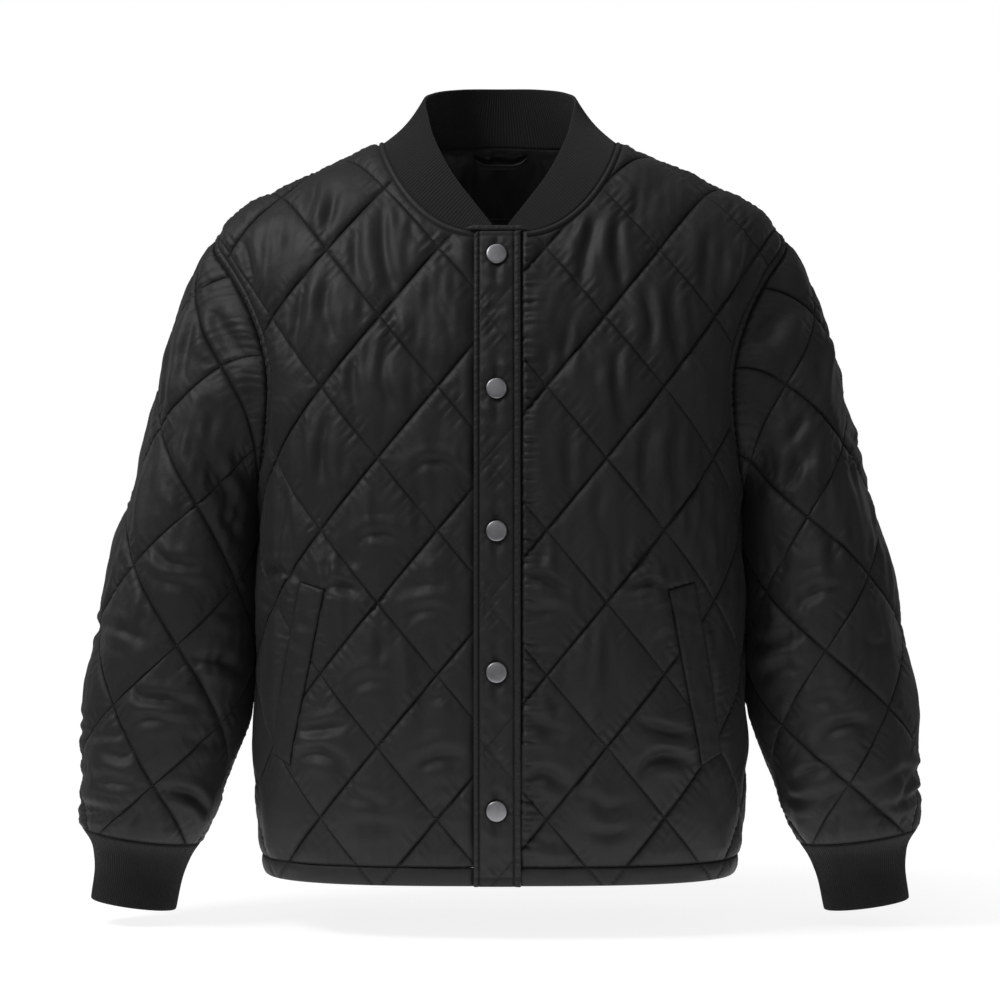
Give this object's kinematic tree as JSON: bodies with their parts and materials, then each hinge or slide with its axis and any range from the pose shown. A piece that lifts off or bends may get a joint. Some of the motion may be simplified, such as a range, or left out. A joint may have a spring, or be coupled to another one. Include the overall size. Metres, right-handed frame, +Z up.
{
  "type": "quilted jacket",
  "caption": "Hip-length diamond-quilted jacket, filled out and hollow, with a rib stand collar cut to a V, snap placket, slanted welt pockets, set-in sleeves and rib cuffs.",
  "frame": {"origin": "middle of the neck at the height where the shoulders meet it, where the wearer's shoulders hold the jacket", "axes": "+X to the wearer's left, +Y to the wearer's back, +Z up"},
  "size_m": [0.7544, 0.2698, 0.7448],
  "materials": {
    "quilted_nylon": "black satin nylon, quilted in diamonds over thin wadding",
    "plain_nylon": "plain black nylon",
    "rib_knit": "black rib knit, matt",
    "dark_metal": "dark gunmetal, satin"
  },
  "bodies": {
    "root": {"front_left": "quilted_nylon", "front_right": "quilted_nylon", "back": "quilted_nylon", "sleeve_left": "quilted_nylon", "sleeve_right": "quilted_nylon", "placket": "quilted_nylon", "hem_band": "quilted_nylon", "welt_left": "plain_nylon", "welt_right": "plain_nylon", "neck_lining": "plain_nylon", "hanger_loop": "plain_nylon", "collar": "rib_knit", "cuff_left": "rib_knit", "cuff_right": "rib_knit", "snap_1": "dark_metal", "snap_2": "dark_metal", "snap_3": "dark_metal", "snap_4": "dark_metal", "snap_5": "dark_metal"}
  },
  "joints": []
}
